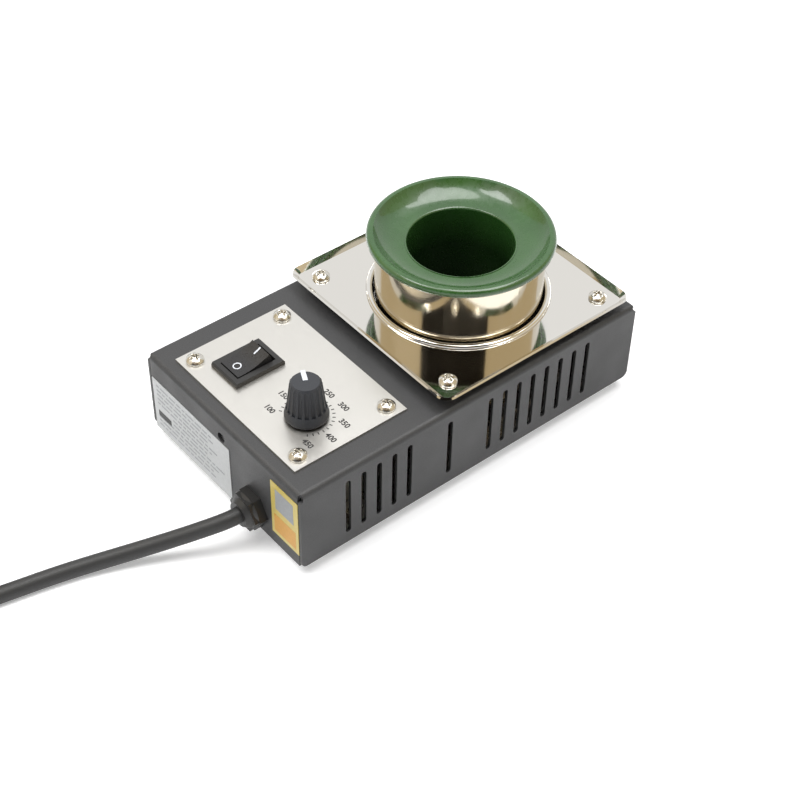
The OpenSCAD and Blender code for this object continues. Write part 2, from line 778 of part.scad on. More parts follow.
module crucible() color("darkgreen")
translate([0, tray_y, rim_z]) difference() {
    union() {
        rotate_extrude($fn = 144) {
            difference() {
                polygon([
                    [0, cup_floor], [cup_r - 1, cup_floor], [cup_r, cup_floor + 1], [cup_r, land_z - 5],
                    [can_in - 0.8, land_z - 1.4], [can_in - 0.8, land_z], [roll_mid - 0.6, land_z],
                    [roll_mid, -2 * roll_r], [roll_mid, 0],
                    [0, 0]
                ]);
                // hollow of the dish
                translate([dish_mid, dish_z]) circle(r = dish_r, $fn = 200);
                translate([-1, lip_z]) square([dish_mid + 1, 10]);
                // well with a rounded mouth
                polygon([
                    [-1, well_floor], [well_r - 1.5, well_floor], [well_r, lip_z - mouth_r],
                    [well_r + mouth_r, lip_z - mouth_r], [well_r + mouth_r, 1], [-1, 1]
                ]);
            }
            // rounded lip round the mouth, and the rolled edge
            intersection() {
                translate([well_r + mouth_r, lip_z - mouth_r]) circle(r = mouth_r);
                translate([well_r, lip_z - mouth_r]) square([mouth_r + eps, mouth_r]);
            }
            translate([roll_mid, -roll_r]) circle(r = roll_r);
        }
        translate([0, 0, cup_floor - boss_h]) cylinder(r = boss_r, h = boss_h + eps);
    }
    translate([0, 0, cup_floor - boss_h - 1]) cylinder(d = stud_d + 2 * run, h = boss_h + 1);
    translate([0, probe_y, cup_floor - 1]) cylinder(d = probe_d + 2 * run, h = probe_deep + 1);
}

module band_heater() color("tan")
translate([0, tray_y, band_z]) {
    difference() {
        cylinder(r = band_out, h = band_h);
        translate([0, 0, -1]) cylinder(r = band_in, h = band_h + 2);
        translate([-band_out - 1, -band_gap / 2, -1]) cube([6, band_gap, band_h + 2]);
    }
    for (s = [-1, 1]) difference() {
        translate([-band_out - 3.2, s > 0 ? band_gap / 2 : -band_gap / 2 - 1, 0]) cube([3.5, 1, band_h]);
        at_clamps() cylinder(d = 2 + 2 * run, h = 20, center = true);
    }
}

module at_clamps() {
    for (h = [0.25, 0.75]) translate([-band_out - 1.7, 0, band_h * h]) rotate([90, 0, 0]) children();
}

module clamp_screws() color("silver")
translate([0, tray_y, band_z]) at_clamps() {
    cylinder(d = 2, h = band_gap + 4, center = true);
    translate([0, 0, band_gap / 2 + 1]) cylinder(d = 3.2, h = 1.2);
}

module insulation_sleeve() color("white")
translate([0, tray_y, sleeve_z]) difference() {
    cylinder(r = sleeve_out, h = can_top - sleeve_z - 6);
    translate([0, 0, -1]) cylinder(r = sleeve_in, h = can_top);
    translate([-sleeve_out - 1, -band_gap - 4, -1])
        cube([sleeve_out - sleeve_in + 4, 2 * band_gap + 8, can_top]);
}

module insulation_disc() color("white")
translate([0, tray_y, sleeve_z]) difference() {
    cylinder(r = sleeve_in - seat, h = rim_z + cup_floor - sleeve_z);
    translate([0, 0, -1]) cylinder(r = boss_r + seat, h = rim_z);
    translate([0, probe_y, -1]) cylinder(d = probe_d + 2 * run, h = rim_z);
    translate([0, 0, -1]) at_feeds() cylinder(d = feed_d, h = rim_z);
}

module thermocouple() color("silver")
translate([0, tray_y + probe_y, can_floor - 3])
    cylinder(d = probe_d, h = rim_z + cup_floor + probe_deep - seat - can_floor + 3);

module at_bracket_screws() {
    for (s = [-1, 1]) translate([s * (bracket_half + bracket_foot / 2), tray_y, 0]) children();
}

module pot_bracket() color("silver")
difference() {
    translate([0, tray_y, 0]) {
        translate([-bracket_half, -bracket_l / 2, bracket_top - bracket_t])
            cube([2 * bracket_half, bracket_l, bracket_t]);
        for (s = [0, 1]) mirror([s, 0, 0]) {
            translate([bracket_half - bracket_t, -bracket_l / 2, base_top])
                cube([bracket_t, bracket_l, bracket_top - base_top]);
            translate([bracket_half - bracket_t, -bracket_l / 2, base_top])
                cube([bracket_foot + bracket_t, bracket_l, bracket_t]);
        }
    }
    translate([0, tray_y, bracket_top - bracket_t - 1])
        cylinder(d = stud_d + 2 * hole_gap, h = bracket_t + 2);
    at_bracket_screws() translate([0, 0, base_top - 1]) cylinder(d = free_d, h = bracket_t + 2);
}

module bracket_screws() color("silver")
at_bracket_screws() translate([0, 0, base_top + bracket_t]) pan_screw(bracket_t + base_t + 0.5);

module pot_stud() color("silver")
translate([0, tray_y, base_top + seat]) cylinder(d = stud_d, h = rim_z + cup_floor - base_top - seat - 0.5);

module stud_nut() color("silver")
translate([0, tray_y, bracket_top - bracket_t - 3.5]) hex_nut(stud_d + 2 * run, 8, 3.5);

// gland, lead and plug

module gland_body() color("black")
translate([gland_x, front_y, gland_z]) rotate([90, 0, 0]) difference() {
    union() {
        cylinder(d = gland_af / cos(30), h = gland_flange_t, $fn = 6);
        translate([0, 0, -gland_in]) cylinder(d = gland_thread_d, h = gland_in + eps);
        cylinder(d = gland_neck_d, h = gland_flange_t + gland_cap_h - gland_face - seal_t);
    }
    translate([0, 0, -gland_in - 1]) cylinder(d = lead_d + 2 * hole_gap, h = gland_in + 12);
}

module gland_cap() color("black")
translate([gland_x, front_y - gland_flange_t, gland_z]) rotate([90, 0, 0]) difference() {
    union() {
        cylinder(d = (gland_af - 1) / cos(30), h = gland_cap_h * 0.5, $fn = 6);
        cylinder(d1 = gland_af + 0.6, d2 = gland_thread_d - 0.6, h = gland_cap_h);
    }
    translate([0, 0, -1]) cylinder(d = gland_neck_d + 2 * run, h = gland_cap_h - gland_face + 1);
    translate([0, 0, -1]) cylinder(d = lead_d + 2 * run, h = gland_cap_h + 2);
}

module gland_nut() color("black")
translate([gland_x, front_y + cover_t, gland_z]) rotate([-90, 0, 0])
    hex_nut(gland_thread_d + 2 * run, gland_af - 1, 3);

module gland_seal() color("black")
translate([gland_x, gland_end_y + gland_face, gland_z]) rotate([-90, 0, 0]) difference() {
    cylinder(d = gland_neck_d, h = seal_t);
    translate([0, 0, -1]) cylinder(d = lead_d + 2 * run, h = seal_t + 2);
}

module inner_cable() color([0.1, 0.1, 0.1])
translate([gland_x, gland_end_y, gland_z]) rotate([-90, 0, 0])
    cylinder(d = lead_d, h = block_y - gland_end_y);

module internal_wires() {
    // terminal block to switch, triac to heater, and heater back to the terminal block
    pole_y = block_y + block_l / 2;
    feed_z = can_floor - 2.6;
    low_z = board_z - board_t - film_h - 2.9;
    color("red") tube([
        [gland_x - block_pole, pole_y, block_top - 5.7], [gland_x - block_pole, pole_y, block_top + 0.8],
        [gland_x - block_pole - 3.5, pole_y - 1.5, block_top + 2.3], [3.6, pole_y - 3, block_top - 1.5],
        [2.4, pole_y - 5, low_z], [-6, pole_y - 9.5, low_z],
        [switch_x + 2.5, switch_y - terminal_y, low_z + 1],
        [switch_x, switch_y - terminal_y, terminal_z - 2], [switch_x, switch_y - terminal_y, terminal_z]
    ], 1.6, 8);
    color("white") tube([
        [feed_x, tray_y - feed_y, band_z], [feed_x, tray_y - feed_y, can_floor],
        [feed_x - 2.5, tray_y - feed_y - 2.5, feed_z], [-33, tray_y - 20, feed_z], [-34, tray_y - 50, feed_z],
        [-31, triac_y - 10, base_top + 2.6], [triac_x - triac_pin, triac_y - 12, base_top + 2.25],
        [triac_x - triac_pin, triac_y - triac_pin_l, base_top + 2.25]
    ], 1.8, 8);
    color("white") tube([
        [feed_x, tray_y + feed_y, band_z], [feed_x, tray_y + feed_y, can_floor],
        [feed_x - 3.5, tray_y + feed_y + 1.5, feed_z], [-36.5, tray_y + 1, feed_z],
        [-38, tray_y - 25, feed_z],
        [-37, triac_y - 5, feed_z], [-30, triac_y - 14, feed_z], [-12, triac_y - 15, 13],
        [6, pole_y + 3, block_top + 1], [gland_x - 3, pole_y, block_top + 2.6],
        [gland_x, pole_y, block_top + 1], [gland_x, pole_y, block_top - 5.7]
    ], 1.8, 8);
}

module white_label() color("white")
translate([-case_w / 2 + 2, front_y - label_t, base_z + 0.5]) cube([label_w, label_t, label_h]);

module yellow_label() color("khaki")
translate([case_w / 2 - 1.3 - tag_w, front_y - label_t, base_z + 5.6]) cube([tag_w, label_t, tag_h]);

module mains_lead() color([0.1, 0.1, 0.1]) tube(lead_route, lead_d);

module lead_tail() color([0.1, 0.1, 0.1]) tube(tail_route, lead_d);

module lead_coil() color([0.1, 0.1, 0.1])
translate([coil_x, coil_y, 0]) rotate_extrude($fn = 96)
    translate([coil_mid - coil_rings * lead_d / 2, 0]) square([coil_rings * lead_d, coil_layers * lead_d]);

module plug_body() color([0.1, 0.1, 0.1])
at_plug() {
    difference() {
        union() {
            cylinder(d1 = lead_d + 1, d2 = 11, h = plug_relief + eps);
            translate([0, 0, plug_relief]) linear_extrude(plug_l) union() {
                square([plug_h, plug_w - 6], center = true);
                square([plug_h - 6, plug_w], center = true);
                for (sx = [-1, 1], sy = [-1, 1])
                    translate([sx * (plug_h / 2 - 3), sy * (plug_w / 2 - 3)]) circle(r = 3);
            }
        }
        plug_pin_set(0.02);
    }
}

module plug_pin_set(grow = 0) {
    // two flat blades and a round earth pin
    translate([0, 0, plug_relief + plug_l - 6]) {
        for (s = [-1, 1]) translate([-3.2 - grow, s * blade_gap / 2 - 0.75 - grow, 0])
            cube([6.4 + 2 * grow, 1.5 + 2 * grow, blade_l + 6]);
        translate([-plug_h / 2 + 3.4, 0, 0]) cylinder(d = 4.8 + 2 * grow, h = blade_l + 8);
    }
}

module plug_pins() color("gold") at_plug() plug_pin_set();

module at_plug() {
    translate(plug_at) rotate([0, 0, plug_turn]) rotate([0, 90, 0]) rotate(180) children();
}

cover();
base_lugs();
base_plate();
base_screws();
feet();
foot_screws();
foot_nuts();
control_panel();
panel_screws();
switch_body();
switch_rocker();
switch_terminals();
potentiometer();
control_shaft();
shaft_nut();
knob();
knob_pointer();
circuit_board();
board_spacers();
board_screws();
trimmer_body();
trimmer_rotor();
film_capacitor();
control_chip();
triac();
triac_screw();
terminal_block();
spill_tray();
tray_spacers();
tray_bolts();
tray_nuts();
heater_can();
crucible();
band_heater();
clamp_screws();
insulation_sleeve();
insulation_disc();
thermocouple();
pot_bracket();
bracket_screws();
pot_stud();
stud_nut();
gland_body();
gland_cap();
gland_nut();
gland_seal();
inner_cable();
internal_wires();
white_label();
yellow_label();
mains_lead();
lead_tail();
lead_coil();
plug_body();
plug_pins();
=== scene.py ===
import json
import math

import bpy
from mathutils import Euler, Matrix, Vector


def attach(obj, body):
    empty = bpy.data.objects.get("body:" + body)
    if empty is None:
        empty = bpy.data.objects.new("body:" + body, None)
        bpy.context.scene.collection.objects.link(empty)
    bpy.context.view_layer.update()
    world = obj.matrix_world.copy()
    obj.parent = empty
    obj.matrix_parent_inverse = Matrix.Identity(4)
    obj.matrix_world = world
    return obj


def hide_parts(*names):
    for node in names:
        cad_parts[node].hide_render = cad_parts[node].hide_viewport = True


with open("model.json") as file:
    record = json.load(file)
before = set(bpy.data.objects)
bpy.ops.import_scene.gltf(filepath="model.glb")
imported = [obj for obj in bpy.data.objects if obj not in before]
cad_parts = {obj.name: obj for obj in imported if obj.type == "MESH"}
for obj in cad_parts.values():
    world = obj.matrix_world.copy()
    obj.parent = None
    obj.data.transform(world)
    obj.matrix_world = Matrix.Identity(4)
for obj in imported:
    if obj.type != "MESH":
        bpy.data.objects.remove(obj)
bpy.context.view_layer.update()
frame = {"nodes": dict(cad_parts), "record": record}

bpy.ops.object.select_all(action="DESELECT")
scene = bpy.context.scene
scene.view_settings.view_transform = "Standard"
print("frame loaded:", len(frame["nodes"]), "nodes")


# camera, looking down at the control panel's corner

cameraSet = {
    "place": (0.34565, -0.29148, 0.43819),
    "turn": (46.1706, -0.9580, 50.5354),     # degrees
    "lens": 75,
}


def makeCamera():
    turn = Euler([math.radians(angle) for angle in cameraSet["turn"]])
    bpy.ops.object.camera_add(location=cameraSet["place"], rotation=turn)
    camera = bpy.context.object
    camera.name = "camera"
    camera.data.lens = cameraSet["lens"]
    camera.data.clip_start = 0.01
    scene.camera = camera


makeCamera()
print("camera made")


# finishes

def newFinish(name, colour, roughness, metallic=0.0, **sockets):
    finish = bpy.data.materials.new(name)
    finish.use_nodes = True
    shader = finish.node_tree.nodes["Principled BSDF"]
    shader.inputs["Base Color"].default_value = (*colour, 1)
    shader.inputs["Roughness"].default_value = roughness
    shader.inputs["Metallic"].default_value = metallic
    for socket, value in sockets.items():
        shader.inputs[socket.replace("_", " ")].default_value = value
    return finish


def noiseOn(finish, scale, stretch=(1, 1, 1), detail=2.0):
    # noise in the object's own coordinates, stretched along an axis for brushed or drawn grain
    nodes, links = finish.node_tree.nodes, finish.node_tree.links
    place = nodes.new("ShaderNodeTexCoord")
    mapping = nodes.new("ShaderNodeMapping")
    mapping.inputs["Scale"].default_value = stretch
    noise = nodes.new("ShaderNodeTexNoise")
    noise.inputs["Scale"].default_value = scale
    noise.inputs["Detail"].default_value = detail
    links.new(place.outputs["Object"], mapping.inputs["Vector"])
    links.new(mapping.outputs["Vector"], noise.inputs["Vector"])
    return noise


def addBump(finish, noise, depth, strength=1.0):
    nodes, links = finish.node_tree.nodes, finish.node_tree.links
    shader = nodes["Principled BSDF"]
    bump = nodes.new("ShaderNodeBump")
    bump.inputs["Distance"].default_value = depth
    bump.inputs["Strength"].default_value = strength
    links.new(noise.outputs["Fac"], bump.inputs["Height"])
    if shader.inputs["Normal"].is_linked:
        links.new(shader.inputs["Normal"].links[0].from_socket, bump.inputs["Normal"])
    links.new(bump.outputs["Normal"], shader.inputs["Normal"])


def addRange(finish, noise, socket, low, high):
    # the noise drives a socket between two values
    nodes, links = finish.node_tree.nodes, finish.node_tree.links
    spread = nodes.new("ShaderNodeMapRange")
    spread.inputs["From Min"].default_value = 0.3
    spread.inputs["From Max"].default_value = 0.7
    spread.inputs["To Min"].default_value = low
    spread.inputs["To Max"].default_value = high
    links.new(noise.outputs["Fac"], spread.inputs["Value"])
    links.new(spread.outputs["Result"], nodes["Principled BSDF"].inputs[socket])


def addTint(finish, noise, first, second):
    # the noise mixes two colours
    nodes, links = finish.node_tree.nodes, finish.node_tree.links
    ramp = nodes.new("ShaderNodeValToRGB")
    ramp.color_ramp.elements[0].position = 0.35
    ramp.color_ramp.elements[0].color = (*first, 1)
    ramp.color_ramp.elements[1].position = 0.65
    ramp.color_ramp.elements[1].color = (*second, 1)
    links.new(noise.outputs["Fac"], ramp.inputs["Fac"])
    links.new(ramp.outputs["Color"], nodes["Principled BSDF"].inputs["Base Color"])


def powderCoat():
    finish = newFinish("powderCoat", (0.032, 0.032, 0.033), 0.5)
    fine = noiseOn(finish, 2600, detail=1.0)
    addTint(finish, fine, (0.026, 0.026, 0.027), (0.037, 0.037, 0.038))
    addRange(finish, noiseOn(finish, 60), "Roughness", 0.44, 0.56)
    addBump(finish, noiseOn(finish, 1500, detail=2.0), 0.00006, 0.6)
    return finish


def satinPanel():
    finish = newFinish("satinPanel", (0.66, 0.645, 0.61), 0.32, 1.0)
    grain = noiseOn(finish, 1800, stretch=(0.5, 1.4, 1), detail=4.0)
    addRange(finish, grain, "Roughness", 0.3, 0.38)
    addBump(finish, grain, 0.000004, 0.3)
    return finish


def polishedSteel():
    finish = newFinish("polishedSteel", (0.74, 0.72, 0.68), 0.06, 1.0)
    cloud = noiseOn(finish, 90, detail=5.0)
    addRange(finish, cloud, "Roughness", 0.03, 0.09)
    addBump(finish, noiseOn(finish, 45), 0.00005, 0.25)
    return finish


def drawnSteel():
    # the can was drawn and polished round its axis
    finish = newFinish("drawnSteel", (0.68, 0.62, 0.5), 0.1, 1.0)
    addRange(finish, noiseOn(finish, 300, stretch=(1, 1, 0.04), detail=4.0), "Roughness", 0.07, 0.15)
    addBump(finish, noiseOn(finish, 60), 0.00004, 0.25)
    return finish


# painted shade: below these heights the green is darkened down the well, where shade falls
paintedWellShade = {"From Min": 0.050, "From Max": 0.0665, "To Min": 0.22, "To Max": 1.0}   # heights, then how bright


def greenGlaze():
    # painted shade: the green is darkened down the well, where shade falls
    finish = newFinish("greenGlaze", (0.024, 0.06, 0.016), 0.3, Coat_Weight=0.6, Coat_Roughness=0.05)
    pool = noiseOn(finish, 55, detail=4.0)
    addTint(finish, pool, (0.019, 0.068, 0.012), (0.026, 0.086, 0.016))
    nodes, links = finish.node_tree.nodes, finish.node_tree.links
    shader = nodes["Principled BSDF"]
    tint = shader.inputs["Base Color"].links[0].from_socket
    place = nodes.new("ShaderNodeTexCoord")
    height = nodes.new("ShaderNodeSeparateXYZ")
    # painted shade: the tint is scaled down by height below the rim
    depth = nodes.new("ShaderNodeMapRange")
    for name, value in paintedWellShade.items():
        depth.inputs[name].default_value = value
    paintedShade = nodes.new("ShaderNodeVectorMath")
    paintedShade.operation = "SCALE"
    links.new(place.outputs["Object"], height.inputs["Vector"])
    links.new(height.outputs["Z"], depth.inputs["Value"])
    links.new(tint, paintedShade.inputs[0])
    links.new(depth.outputs["Result"], paintedShade.inputs["Scale"])
    links.new(paintedShade.outputs["Vector"], shader.inputs["Base Color"])
    addRange(finish, noiseOn(finish, 400), "Roughness", 0.22, 0.36)
    addBump(finish, noiseOn(finish, 130, detail=3.0), 0.00008, 0.4)
    return finish


def mouldedBlack(name, colour, roughness, grain=2200, depth=0.00003):
    finish = newFinish(name, colour, roughness)
    speck = noiseOn(finish, grain, detail=2.0)
    addRange(finish, speck, "Roughness", roughness - 0.06, roughness + 0.08)
    addBump(finish, speck, depth, 0.5)
    return finish


def plainMetal(name, colour, roughness, grain=500):
    finish = newFinish(name, colour, roughness, 1.0)
    speck = noiseOn(finish, grain, detail=3.0)
    addRange(finish, speck, "Roughness", roughness * 0.7, roughness * 1.4)
    addBump(finish, speck, 0.00002, 0.3)
    return finish


def mouldedColour(name, colour, roughness=0.4):
    finish = newFinish(name, colour, roughness)
    speck = noiseOn(finish, 900)
    shade = [part * 0.92 for part in colour]
    addTint(finish, speck, shade, colour)
    addBump(finish, speck, 0.00002, 0.3)
    return finish


def fibreBoard():
    finish = newFinish("fibreBoard", (0.75, 0.72, 0.64), 0.9)
    fibre = noiseOn(finish, 700, stretch=(1, 1, 3), detail=6.0)
    addTint(finish, fibre, (0.62, 0.58, 0.5), (0.8, 0.77, 0.7))
    addBump(finish, fibre, 0.0002, 0.6)
    return finish


finishes = {
    "case_paint": powderCoat(),
    "steel": plainMetal("plainSteel", (0.58, 0.58, 0.57), 0.32),
    "zinc": plainMetal("zincPlate", (0.62, 0.6, 0.55), 0.2),
    "panel_satin": satinPanel(),
    "stainless": polishedSteel(),
    "green_glaze": greenGlaze(),
    "feet_rubber": mouldedBlack("softRubber", (0.018, 0.018, 0.018), 0.7, 1200, 0.00005),
    "black_plastic": mouldedBlack("blackNylon", (0.012, 0.0115, 0.011), 0.42),
    "rocker_plastic": mouldedBlack("rockerPlastic", (0.014, 0.0135, 0.014), 0.32),
    "knob_plastic": mouldedBlack("knobPlastic", (0.016, 0.018, 0.023), 0.48),
    "pointer_white": mouldedColour("pointerPaint", (0.62, 0.64, 0.68), 0.45),
    "board_green": mouldedColour("boardMask", (0.02, 0.16, 0.05), 0.3),
    "brass": plainMetal("brass", (0.8, 0.6, 0.28), 0.2),
    "pot_case": mouldedColour("potCase", (0.16, 0.16, 0.14)),
    "trimmer_blue": mouldedColour("trimmerBlue", (0.03, 0.09, 0.45)),
    "trimmer_white": mouldedColour("trimmerWhite", (0.75, 0.75, 0.72)),
    "capacitor_yellow": mouldedColour("capacitorYellow", (0.55, 0.36, 0.03), 0.3),
    "chip_black": mouldedBlack("chipEpoxy", (0.015, 0.015, 0.015), 0.5),
    "block_ivory": mouldedColour("blockNylon", (0.68, 0.65, 0.55)),
    "insulation": fibreBoard(),
    "cord_black": mouldedBlack("cordJacket", (0.02, 0.02, 0.02), 0.5, 1500, 0.00004),
    "wire_cover": mouldedColour("wireCover", (0.62, 0.6, 0.56), 0.6),
    "label_white": mouldedColour("labelFilm", (0.5, 0.51, 0.51), 0.4),
    "label_yellow": mouldedColour("tagFilm", (0.58, 0.46, 0.12), 0.3),
}
finishes["can"] = drawnSteel()


def dress(node, finish):
    mesh = frame["nodes"][node].data
    mesh.materials.clear()
    mesh.materials.append(finishes[finish])


for part in frame["record"]["subparts"]:
    dress(part["node"], part["material_slot"])
dress("heater_can", "can")
print("nodes dressed")


# mains lead: down from the gland, along the bench, into a coil, and out to the plug

lead = {
    "diameter": 0.006,
    "length": 1.5,
    "route": [
        (0.018, -0.0843, 0.0135), (0.018, -0.0873, 0.0135), (0.016, -0.093, 0.0124),
        (0.0105, -0.103, 0.009), (0.004, -0.1155, 0.0056), (-0.002, -0.129, 0.0034),
        (-0.006, -0.142, 0.003), (-0.009, -0.156, 0.003), (-0.012, -0.170, 0.003),
        (-0.0136, -0.181, 0.003),
    ],
    "tail": [
        (-0.0146, -0.1936, 0.009), (-0.0161, -0.2078, 0.0084), (-0.0237, -0.2207, 0.0062),
        (-0.0368, -0.2288, 0.0038), (-0.052, -0.2317, 0.003), (-0.0673, -0.229, 0.003),
        (-0.0807, -0.2212, 0.003), (-0.0886, -0.2136, 0.0034), (-0.0962, -0.2045, 0.0052),
        (-0.0992, -0.1975, 0.0078), (-0.1, -0.1925, 0.0095), (-0.1, -0.1885, 0.0095),
    ],
    "coilCentre": (-0.052, -0.187),
    "rings": (0.038, 0.032, 0.026),      # radii of the turns, outside to inside
    "perTurn": 18,
    "pieces": ("plug_body", "plug_pins", "gland_body", "gland_cap", "gland_nut", "gland_seal", "inner_cable"),
}


def coilPoints():
    # lower layer winds inwards, upper layer winds outwards, clockwise seen from above
    centreX, centreY = lead["coilCentre"]
    radius = lead["diameter"] / 2
    rings = lead["rings"]
    start = math.radians(-10)
    points = []
    steps = lead["perTurn"]
    for layer in range(2):
        radii = rings if layer == 0 else rings[::-1]
        for turn, ring in enumerate(radii):
            for step in range(steps):
                angle = start - (turn + step / steps + 3 * layer) * 2 * math.pi
                following = radii[turn + 1] if turn < 2 else ring
                ease = max(0.0, step / steps - 0.75) * 4
                wide = ring + (following - ring) * ease
                high = radius + layer * lead["diameter"]
                if layer == 0 and turn == 2:
                    high += lead["diameter"] * ease
                points.append((centreX + wide * math.cos(angle), centreY + wide * math.sin(angle), high))
    return points


def makeLead():
    points = lead["route"] + coilPoints() + lead["tail"]
    line = bpy.data.curves.new("mainsLead", "CURVE")
    line.dimensions = "3D"
    line.bevel_depth = lead["diameter"] / 2
    line.bevel_resolution = 6
    line.resolution_u = 6
    spline = line.splines.new("NURBS")
    spline.points.add(len(points) - 1)
    for point, place in zip(spline.points, points):
        point.co = (*place, 1)
    spline.order_u = 4
    spline.use_endpoint_u = True
    cord = bpy.data.objects.new("mainsLead", line)
    scene.collection.objects.link(cord)
    cord.data.materials.append(finishes["cord_black"])
    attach(cord, "case")
    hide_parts("mains_lead", "lead_tail", "lead_coil")


makeLead()
print("lead laid")


# screws with a cross recess, cut into the heads

recess = {
    "width": 0.0009,
    "across": 0.0031,
    "depth": 0.0014,
    "firstTurn": 20,         # degrees, each head a little further on
    "nextTurn": 31,
    "panelHeads": [(x, y) for x in (-0.030, 0.030) for y in (-0.067, -0.029)],
    "trayHeads": [(x, y) for x in (-0.036, 0.036) for y in (-0.0065, 0.0655)],
}


def makeCutter(heads, top):
    # one cross of two bars over each head
    bars = []
    for order, (x, y) in enumerate(heads):
        turn = math.radians(recess["firstTurn"] + recess["nextTurn"] * order)
        for quarter in (0, math.pi / 2):
            bpy.ops.mesh.primitive_cube_add(size=1, location=(x, y, top), rotation=(0, 0, turn + quarter))
            bar = bpy.context.object
            bar.scale = (recess["across"], recess["width"], 2 * recess["depth"])
            bars.append(bar)
    for bar in bars:
        bar.select_set(True)
    bpy.ops.object.transform_apply(location=True, rotation=True, scale=True)
    bpy.ops.object.join()
    return bpy.context.object


def cutScrews(node, heads):
    source = frame["nodes"][node]
    piece = source.copy()
    piece.data = source.data.copy()
    piece.name = node + "Crossed"
    scene.collection.objects.link(piece)
    top = max((source.matrix_world @ vertex.co).z for vertex in source.data.vertices)
    cutter = makeCutter(heads, top)
    bpy.ops.object.select_all(action="DESELECT")
    piece.select_set(True)
    bpy.context.view_layer.objects.active = piece
    bpy.ops.object.mode_set(mode="EDIT")
    bpy.ops.mesh.select_all(action="SELECT")
    bpy.ops.mesh.remove_doubles(threshold=0.000002)
    bpy.ops.object.mode_set(mode="OBJECT")
    cut = piece.modifiers.new("cross", "BOOLEAN")
    cut.operation = "DIFFERENCE"
    cut.solver = "EXACT"
    cut.use_self = True
    cut.object = cutter
    bpy.ops.object.modifier_apply(modifier=cut.name)
    bpy.data.objects.remove(cutter)
    bpy.ops.object.shade_smooth_by_angle(angle=math.radians(40))
    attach(piece, "case")
    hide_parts(node)


cutScrews("panel_screws", recess["panelHeads"])
cutScrews("tray_bolts", recess["trayHeads"])
print("screws cut")


# printing: thin films on the panel, the rocker and the labels

inkFinish = mouldedColour("darkInk", (0.012, 0.012, 0.012), 0.5)
greyFinish = mouldedColour("greyInk", (0.3, 0.31, 0.32), 0.5)
orangeFinish = mouldedColour("orangeInk", (0.6, 0.3, 0.04), 0.4)
film = {"thick": 0.00004, "lift": 0.00003}


def finishFilm(piece, name, finish, body, target=None):
    # a film is laid on its target, thickened, and rides with its body
    piece.name = name
    bpy.ops.object.transform_apply(location=True, rotation=True, scale=True)
    if target:
        lay = piece.modifiers.new("lay", "SHRINKWRAP")
        lay.target = frame["nodes"][target]
        lay.wrap_method = "PROJECT"
        lay.use_project_z = True
        lay.use_negative_direction = True
        lay.use_positive_direction = False
        lay.offset = film["lift"]
        bpy.ops.object.modifier_apply(modifier=lay.name)
    thick = piece.modifiers.new("thick", "SOLIDIFY")
    thick.thickness = film["thick"]
    thick.offset = 0
    bpy.ops.object.modifier_apply(modifier=thick.name)
    piece.data.materials.clear()
    piece.data.materials.append(finish)
    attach(piece, body)


def joinAll(pieces):
    bpy.ops.object.select_all(action="DESELECT")
    for piece in pieces:
        piece.select_set(True)
    bpy.context.view_layer.objects.active = pieces[0]
    bpy.ops.object.transform_apply(location=True, rotation=True, scale=True)
    if len(pieces) > 1:
        bpy.ops.object.join()
    return bpy.context.object


def flatBar(place, turn, long, wide, cuts=0):
    bpy.ops.mesh.primitive_grid_add(x_subdivisions=cuts + 1, y_subdivisions=1, size=1, location=place,
                                    rotation=(0, 0, turn))
    bar = bpy.context.object
    bar.scale = (long, wide, 1)
    return bar


# rocker marks: a ring at the pressed end, a bar at the raised end

marks = {
    "ring": (-0.0165, -0.0584), "ringRadius": 0.0016, "ringLine": 0.72,
    "bar": (-0.0165, -0.0494), "barLong": 0.0034, "barWide": 0.0006, "above": 0.05,
}


def makeMarks():
    bpy.ops.mesh.primitive_circle_add(vertices=40, radius=marks["ringRadius"],
                                      location=(*marks["ring"], marks["above"]))
    ring = bpy.context.object
    bpy.ops.object.mode_set(mode="EDIT")
    bpy.ops.mesh.select_all(action="SELECT")
    bpy.ops.mesh.extrude_edges_move()
    bpy.ops.transform.resize(value=(marks["ringLine"],) * 2 + (1,),
                             center_override=(*marks["ring"], marks["above"]))
    bpy.ops.object.mode_set(mode="OBJECT")
    finishFilm(ring, "offRing", finishes["pointer_white"], "rocker", "switch_rocker")
    bar = flatBar((*marks["bar"], marks["above"]), math.pi / 2, marks["barLong"], marks["barWide"], cuts=6)
    finishFilm(bar, "onBar", finishes["pointer_white"], "rocker", "switch_rocker")


makeMarks()


# dial: ticks round the knob and plain numbers outside them

dial = {
    "centre": (0.0166, -0.0531), "top": 0.0408, "from": 216, "sweep": 252,
    "ticks": 22, "tickFrom": 0.0088, "tickTo": 0.0099, "tickWide": 0.00036,
    "numbers": ("100", "150", "200", "250", "300", "350", "400", "450"),
    "numberRadius": 0.0133, "numberSize": 0.0031, "numberSwell": 0.00006,
}


def dialPlace(radius, share):
    angle = math.radians(dial["from"] - dial["sweep"] * share)
    x, y = dial["centre"]
    return (x + radius * math.cos(angle), y + radius * math.sin(angle), dial["top"] + film["lift"]), angle


def makeDial():
    bars = []
    middle = (dial["tickFrom"] + dial["tickTo"]) / 2
    for tick in range(dial["ticks"]):
        place, angle = dialPlace(middle, tick / (dial["ticks"] - 1))
        bars.append(flatBar(place, angle, dial["tickTo"] - dial["tickFrom"], dial["tickWide"]))
    finishFilm(joinAll(bars), "dialTicks", inkFinish, "case")
    words = []
    for order, number in enumerate(dial["numbers"]):
        place, angle = dialPlace(dial["numberRadius"], order / (len(dial["numbers"]) - 1))
        bpy.ops.object.text_add(location=place)
        word = bpy.context.object
        word.data.body = number
        word.data.size = dial["numberSize"]
        word.data.resolution_u = 3
        word.data.offset = dial["numberSwell"]
        word.data.align_x = "CENTER"
        word.data.align_y = "CENTER"
        bpy.ops.object.convert(target="MESH")
        words.append(bpy.context.object)
    finishFilm(joinAll(words), "dialNumbers", inkFinish, "case")


makeDial()


# label fields: rows of short grey bars and plain squares instead of words

